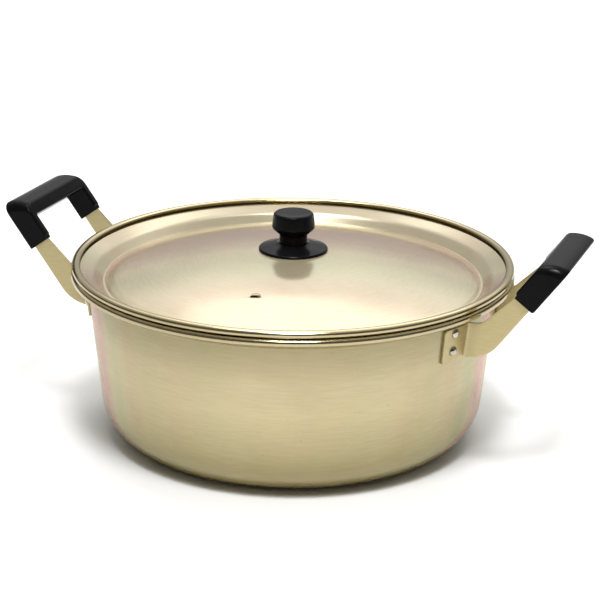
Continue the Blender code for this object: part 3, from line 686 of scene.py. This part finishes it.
def build_knob():
    seat = KNOB_SEAT
    neck = NECK_RADIUS
    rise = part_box("knob_flange")[1].z - seat
    flange = [(KNOB_HOLE, seat, 0.0), (FLANGE_RADIUS - 0.6 * MM, seat, 0.3 * MM),
              (FLANGE_RADIUS, seat + 0.8 * MM, 0.45 * MM),
              (FLANGE_RADIUS - 0.7 * MM, seat + 1.8 * MM, 0.9 * MM),
              (18.5 * MM, seat + 3.5 * MM, 12.0 * MM), (13.0 * MM, seat + 4.5 * MM, 5.0 * MM),
              (neck + 0.9 * MM, seat + rise, 0.3 * MM), (KNOB_HOLE, seat + rise, 0.0)]
    piece("knob_seat", turned("knob_seat", closed(flange), SMALL_TURNS), phenolic,
          "lid", "black_phenolic", "knob_flange")

    top = KNOB_TOP
    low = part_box("knob_grip")[0].z
    head_low = top - KNOB_HEAD_HEIGHT
    pocket_radius, pocket_depth = INSERT_POCKET
    head = [(pocket_radius, low, 0.0), (neck + 0.6 * MM, low, 0.3 * MM),
            (neck, low + 1.6 * MM, 1.5 * MM), (neck, head_low, 1.3 * MM),
            (KNOB_RADIUS - 0.9 * MM, head_low + 4.3 * MM, 1.0 * MM),
            (KNOB_RADIUS, head_low + 6.0 * MM, 1.4 * MM),
            (14.9 * MM, top - 1.0 * MM, 0.7 * MM), (13.6 * MM, top, 0.8 * MM),
            (7.0 * MM, top - 0.6 * MM, 20.0 * MM), (0.0, top - 0.7 * MM, 0.0),
            (0.0, low + pocket_depth, 0.0), (pocket_radius, low + pocket_depth, 0.0)]
    piece("knob_head", turned("knob_head", closed(head), SMALL_TURNS), phenolic,
          "lid", "black_phenolic", "knob_grip")

    low, high = (corner.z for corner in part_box("knob_washer"))
    washer = [(KNOB_HOLE, low, 0.0), (WASHER_RADIUS - 0.4 * MM, low, 0.35 * MM),
              (WASHER_RADIUS, low + 0.4 * MM, 0.2 * MM),
              (WASHER_RADIUS, high, 0.15 * MM), (KNOB_HOLE, high, 0.0)]
    piece("lid_washer", turned("lid_washer", closed(washer), SMALL_TURNS), plated,
          "lid", "plated_steel", "knob_washer")

    low, high = (corner.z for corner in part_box("knob_screw"))
    under_head = low + SCREW_HEAD_HEIGHT
    screw = [(0.0, low, 0.0), (SCREW_HEAD_RADIUS - 1.5 * MM, low, 1.6 * MM),
             (SCREW_HEAD_RADIUS, low + 1.5 * MM, 0.5 * MM),
             (SCREW_HEAD_RADIUS, under_head, 0.1 * MM), (SCREW_RADIUS, under_head, 0.0),
             (SCREW_RADIUS, high, 0.0), (0.0, high, 0.0)]
    mesh = turned("lid_screw", closed(screw), SMALL_TURNS)
    arms = []
    reach, half = RECESS_HALVES
    for turn in (0.0, math.pi / 2.0):
        arm = box_mesh("recess", (-reach, -half, low - MM), (reach, half, low + RECESS_DEPTH))
        arm.transform(Matrix.Rotation(turn + RECESS_TURN, 4, "Z"))
        arms.append(("DIFFERENCE", arm))
    piece("lid_screw", baked(mesh, arms), plated, "lid", "plated_steel", "knob_screw")

    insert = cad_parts["knob_insert"]
    insert.data.materials.clear()
    insert.data.materials.append(brass)


# ---------------------------------------------------------------- handles

def grip_axes():
    """Along a leg, and across it, in the (outward, up) plane."""
    return (Vector((math.cos(GRIP_TILT), math.sin(GRIP_TILT))),
            Vector((-math.sin(GRIP_TILT), math.cos(GRIP_TILT))))


def grip_point(span, depth, width):
    along, across = grip_axes()
    flat = GRIP_FOOT + along * depth + across * width
    return Vector((flat.x, span, flat.y))


def tab_station(height, angle):
    radius = wall_radius(height) + GAP + STRAP_SHEET / 2.0
    return Vector((radius * math.cos(angle), radius * math.sin(angle), height))


def bend_station(height, part):
    """Mid-line of the bend from a tab (0) to an arm (1)."""
    radius = wall_radius(height) + GAP + STRAP_SHEET / 2.0
    span = STRAP_SPAN + TAB_BEND_RADIUS
    start = math.asin(span / (radius + TAB_BEND_RADIUS))
    angle = start + math.pi + (math.pi / 2.0 - start) * part
    out = (radius + TAB_BEND_RADIUS) * math.cos(start) + TAB_BEND_RADIUS * math.cos(angle)
    return Vector((out, span + TAB_BEND_RADIUS * math.sin(angle), height))


def arm_edges(count):
    """Lower and upper edges of an arm, in the (outward, up) plane, pot to grip."""
    along, across = grip_axes()
    low_end = GRIP_FOOT + across * (STRAP_OFFSET - STRAP_HALF_WIDTH)
    high_end = GRIP_FOOT + across * (STRAP_OFFSET + STRAP_HALF_WIDTH)
    low_start = Vector((bend_station(TAB_BOTTOM, 1.0).x, TAB_BOTTOM))
    high_start = Vector((bend_station(TAB_TOP, 1.0).x, TAB_TOP))
    low_corner = low_end - along * ((low_end.y - TAB_BOTTOM) / along.y)
    high_corner = Vector((high_start.x + ARM_LEVEL_RUN, TAB_TOP))
    low_reach = (low_corner - low_start).length * ARM_LOWER_SHARE
    low_radius = low_reach / math.tan(GRIP_TILT / 2.0)
    edges = []
    for start, corner, end, radius in ((low_start, low_corner, low_end, low_radius),
                                       (high_start, high_corner, high_end, ARM_UPPER_FILLET)):
        half = (start - corner).angle(end - corner) / 2.0
        back = (start - corner).normalized()
        ahead = (end - corner).normalized()
        centre = corner + (back + ahead).normalized() * (radius / math.sin(half))
        first = corner + back * (radius / math.tan(half)) - centre
        last = corner + ahead * (radius / math.tan(half)) - centre
        edge = [start]
        for step in range(count + 1):
            edge.append(centre + first.slerp(last, step / count).normalized() * radius)
        edge.append(end)
        edges.append(edge)
    return edges


def half_strap():
    """Pairs of edge points from a tab's rounded end to the middle of the bar."""
    pairs = []
    for step in range(6):
        turn = math.radians(90.0 * step / 5.0)
        away = TAB_CORNER * (1.0 - math.cos(turn))
        cut = TAB_CORNER * (1.0 - math.sin(turn))
        angle = TAB_END_ANGLE - away / wall_radius(TAB_TOP)
        pairs.append((tab_station(TAB_BOTTOM + cut, angle), tab_station(TAB_TOP - cut, angle)))
    first = TAB_END_ANGLE - TAB_CORNER / wall_radius(TAB_TOP)
    last = math.asin(STRAP_SPAN / wall_radius(TAB_TOP)) + TAB_BEND_REACH
    for step in range(1, 8):
        angle = first + (last - first) * step / 8.0
        pairs.append((tab_station(TAB_BOTTOM, angle), tab_station(TAB_TOP, angle)))
    for step in range(13):
        pairs.append((bend_station(TAB_BOTTOM, step / 12.0), bend_station(TAB_TOP, step / 12.0)))
    lower, upper = arm_edges(18)
    for low, high in zip(lower[1:], upper[1:]):
        pairs.append((Vector((low.x, STRAP_SPAN, low.y)), Vector((high.x, STRAP_SPAN, high.y))))
    centre = (STRAP_SPAN - STRAP_CORNER, STRAP_BAR_DEPTH - STRAP_CORNER)
    for span, depth in [*ellipse(centre, STRAP_CORNER, STRAP_CORNER, 0.0, 90.0, 8),
                        Vector((0.0, STRAP_BAR_DEPTH))]:
        pairs.append((grip_point(span, depth, STRAP_OFFSET - STRAP_HALF_WIDTH),
                      grip_point(span, depth, STRAP_OFFSET + STRAP_HALF_WIDTH)))
    return pairs


def strap_mesh():
    """The whole strap: a bent strip with thickness and eased edges."""
    half = half_strap()
    other = [(Vector((low.x, -low.y, low.z)), Vector((high.x, -high.y, high.z)))
             for low, high in reversed(half[:-1])]
    shape = bmesh.new()
    previous = None
    for low, high in half + other:
        row = [shape.verts.new(low.lerp(high, step / STRAP_COLUMNS))
               for step in range(STRAP_COLUMNS + 1)]
        if previous is not None:
            for step in range(STRAP_COLUMNS):
                shape.faces.new((previous[step], previous[step + 1], row[step + 1], row[step]))
        previous = row
    bmesh.ops.recalc_face_normals(shape, faces=shape.faces)
    sheet = bpy.data.meshes.new("strap")
    shape.to_mesh(sheet)
    shape.free()
    work = tool("strap_work", sheet)
    solid = work.modifiers.new("plate", "SOLIDIFY")
    solid.thickness = STRAP_SHEET
    solid.offset = 0.0
    solid.use_even_offset = True
    edge = work.modifiers.new("edge", "BEVEL")
    edge.width = STRAP_EASE
    edge.segments = 3
    edge.limit_method = "ANGLE"
    edge.angle_limit = math.radians(60.0)
    graph = bpy.context.evaluated_depsgraph_get()
    mesh = bpy.data.meshes.new_from_object(work.evaluated_get(graph))
    bpy.data.objects.remove(work, do_unlink=True)
    mesh.shade_smooth()
    mesh.set_sharp_from_angle(angle=math.radians(50.0))
    return mesh


def bar_top(width):
    """Depth of the bar's top at a place across the grip: sloping, with a crown."""
    middle = (GRIP_OUTER_DEPTH + GRIP_INNER_DEPTH) / 2.0
    slope = (GRIP_INNER_DEPTH - GRIP_OUTER_DEPTH) / (2.0 * GRIP_HALF_WIDTH)
    return middle + slope * width + GRIP_CROWN * (1.0 - (width / GRIP_HALF_WIDTH) ** 2)


def grip_outline(width, inset):
    """The U-shaped outline of the grip in (span, depth) at one place across it."""
    outer = GRIP_HALF_SPAN - inset
    inner = WINDOW_HALF_SPAN + inset
    top = bar_top(width) - inset
    roof = WINDOW_DEPTH + inset
    corner = GRIP_CORNER - inset
    fillet = WINDOW_FILLET
    foot = inset
    if width > STEP_WIDTH:
        foot += STEP_RISE
    right = [(inner, foot), (outer, foot)]
    for step in range(1, 6):
        right.append((outer, foot + (top - corner - foot) * step / 6.0))
    bend = ellipse((outer - corner, top - corner), corner, corner, 0.0, 90.0, 14)
    right += [tuple(point) for point in bend]
    for step in range(1, 8):
        right.append(((outer - corner) * (1.0 - step / 8.0), top))
    window = ellipse((inner - fillet, roof - fillet), fillet, fillet, 90.0, 0.0, 8)
    inside = [(0.0, roof)]
    for step in range(1, 8):
        inside.append(((inner - fillet) * step / 8.0, roof))
    inside += [tuple(point) for point in window]
    for step in range(1, 5):
        inside.append((inner, roof - fillet + (foot - roof + fillet) * step / 5.0))
    left = [(-span, depth) for span, depth in reversed(right)]
    inside_left = [(-span, depth) for span, depth in reversed(inside[1:])]
    return right + [(0.0, top)] + left + inside_left + inside


def grip_mesh():
    """Loft the U outline across the grip, with rounded edges on both faces."""
    stations = []
    for step in range(7):
        angle = math.radians(90.0 * step / 6.0)
        lift = GRIP_EDGE * (1.0 - math.sin(angle))
        stations.append((-GRIP_HALF_WIDTH + GRIP_EDGE * (1.0 - math.cos(angle)), lift))
    inner = GRIP_HALF_WIDTH - GRIP_EDGE
    middle = [(-inner + 2.0 * inner * step / 12.0, 0.0) for step in range(1, 12)]
    mirrored = [(-width, lift) for width, lift in reversed(stations)]
    shape = bmesh.new()
    rings = []
    for width, inset in stations + middle + mirrored:
        outline = grip_outline(width, inset)
        rings.append([shape.verts.new(grip_point(span, depth, width)) for span, depth in outline])
    for ring, following in zip(rings, rings[1:]):
        for index, corner in enumerate(ring):
            after = (index + 1) % len(ring)
            shape.faces.new((corner, ring[after], following[after], following[index]))
    shape.faces.new(rings[0])
    shape.faces.new(rings[-1])
    return smooth_mesh("handle_moulding", shape, 34.0)


def build_handles():
    strap = strap_mesh()
    grip = grip_mesh()
    for side, turn in (("right", 0.0), ("left", math.pi)):
        for label, source, material, slot, node in (
                ("strap", strap, strap_gold, "gold_aluminium", "handle_strap_"),
                ("moulding", grip, phenolic, "black_phenolic", "handle_grip_")):
            mesh = source.copy()
            mesh.transform(Matrix.Rotation(turn, 4, "Z"))
            piece(f"{label}_{side}", mesh, material, "pot", slot, node + side)


# ---------------------------------------------------------------- rivets

def build_rivets():
    seat = 2.0 * GAP + STRAP_SHEET
    inside = -POT_SHEET - RIVET_INNER_GAPS * GAP
    brim = seat - RIVET_SEAT_LAP[0]
    foot = seat - RIVET_SEAT_LAP[1]
    outline = ellipse((0.0, brim), RIVET_HEAD_RADIUS, RIVET_HEAD_HEIGHT, 90.0, 0.0, 12)
    outline += [Vector((RIVET_HEAD_RADIUS - RIVET_FOOT_INSET, foot)), Vector((RIVET_RADIUS, foot))]
    outline += [Vector((RIVET_RADIUS, inside))]
    outline += ellipse((0.0, inside), RIVET_HEAD_RADIUS, RIVET_INNER_HEIGHT, 0.0, -90.0, 10)
    outline[0].x = 0.0
    outline[-1].x = 0.0
    source = turned("rivet", outline, 64)
    tilt = math.atan(WALL_TAPER)
    for name in sorted(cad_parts):
        if not name.startswith("rivet_"):
            continue
        low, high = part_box(name)
        middle = (low + high) / 2.0
        turn = math.atan2(middle.y, middle.x)
        spot = wall_radius(middle.z)
        place = Matrix.Translation((spot * math.cos(turn), spot * math.sin(turn), middle.z))
        outward = Matrix.Rotation(turn, 4, "Z") @ Matrix.Rotation(math.pi / 2.0 + tilt, 4, "Y")
        mesh = source.copy()
        mesh.transform(place @ outward)
        label = name.replace("rivet_", "rivet_head_")
        piece(label, mesh, rivet_metal, "pot", "rivet_aluminium", name)


# ---------------------------------------------------------------- stage, lights, camera

def build_stage():
    shape = bmesh.new()
    bmesh.ops.create_grid(shape, x_segments=4, y_segments=4, size=12.0)
    floor = tool("floor", smooth_mesh("floor", shape))
    floor.data.materials.append(floor_finish("floor_white"))

    build_world()
    for name, place, target, size, power in SOFTBOXES:
        light = bpy.data.lights.new(name, "AREA")
        light.shape = "RECTANGLE"
        light.size, light.size_y = size
        light.energy = power
        aim_light(name, light, place, target)

    pool = bpy.data.lights.new("floor_pool", "SPOT")
    pool.energy = POOL_WATTS
    pool.spot_size = POOL_ANGLE
    pool.spot_blend = 1.0
    pool.shadow_soft_size = POOL_SOFTNESS
    aim_light("floor_pool", pool, POOL_PLACE, POOL_TARGET)


def aim_light(name, light, place, target):
    holder = bpy.data.objects.new(name, light)
    bpy.context.scene.collection.objects.link(holder)
    holder.location = place
    aim = Vector(target) - Vector(place)
    holder.rotation_euler = aim.to_track_quat("-Z", "Y").to_euler()


def build_world():
    """A white studio tent, bright overhead and behind, dim in front and low down."""
    world = bpy.data.worlds.new("studio")
    bpy.context.scene.world = world
    world.use_nodes = True
    nodes = world.node_tree.nodes
    links = world.node_tree.links
    direction = nodes.new("ShaderNodeTexCoord").outputs["Generated"]
    toward = nodes.new("ShaderNodeVectorMath")
    toward.operation = "DOT_PRODUCT"
    toward.inputs[1].default_value = TENT_SLOPE
    links.new(direction, toward.inputs[0])
    ramp = nodes.new("ShaderNodeFloatCurve")
    half = nodes.new("ShaderNodeMath")
    half.operation = "MULTIPLY_ADD"
    half.inputs[1].default_value = 0.5
    half.inputs[2].default_value = 0.5
    links.new(toward.outputs["Value"], half.inputs[0])
    links.new(half.outputs[0], ramp.inputs["Value"])
    curve = ramp.mapping.curves[0]
    for index, (place, level) in enumerate(TENT_LEVELS):
        if index < 2:
            curve.points[index].location = (place, level / TENT_PEAK)
        else:
            curve.points.new(place, level / TENT_PEAK)
    ramp.mapping.update()
    strength = nodes.new("ShaderNodeMath")
    strength.operation = "MULTIPLY"
    strength.inputs[1].default_value = TENT_PEAK
    links.new(ramp.outputs[0], strength.inputs[0])
    links.new(strength.outputs[0], nodes["Background"].inputs["Strength"])
    nodes["Background"].inputs["Color"].default_value = (1.0, 1.0, 1.0, 1.0)


def build_camera():
    lens = bpy.data.cameras.new("camera")
    lens.lens = CAMERA_LENS
    lens.sensor_width = CAMERA_SENSOR
    holder = bpy.data.objects.new("camera", lens)
    bpy.context.scene.collection.objects.link(holder)
    back = Vector((math.sin(CAMERA_AZIMUTH) * math.cos(CAMERA_ELEVATION),
                   -math.cos(CAMERA_AZIMUTH) * math.cos(CAMERA_ELEVATION),
                   math.sin(CAMERA_ELEVATION)))
    turn = Matrix.Rotation(CAMERA_TURN, 4, "Z")
    lean = Matrix.Rotation(math.pi / 2.0 - CAMERA_DIP, 4, "X")
    roll = Matrix.Rotation(CAMERA_ROLL, 4, "Z")
    spot = Vector((0.0, 0.0, RIM)) + back * CAMERA_DISTANCE
    holder.matrix_world = Matrix.Translation(spot) @ turn @ lean @ roll
    bpy.context.scene.camera = holder


build_pot()
build_lid()
build_knob()
build_handles()
build_rivets()
build_stage()
build_camera()
bpy.context.scene.view_settings.view_transform = "Standard"
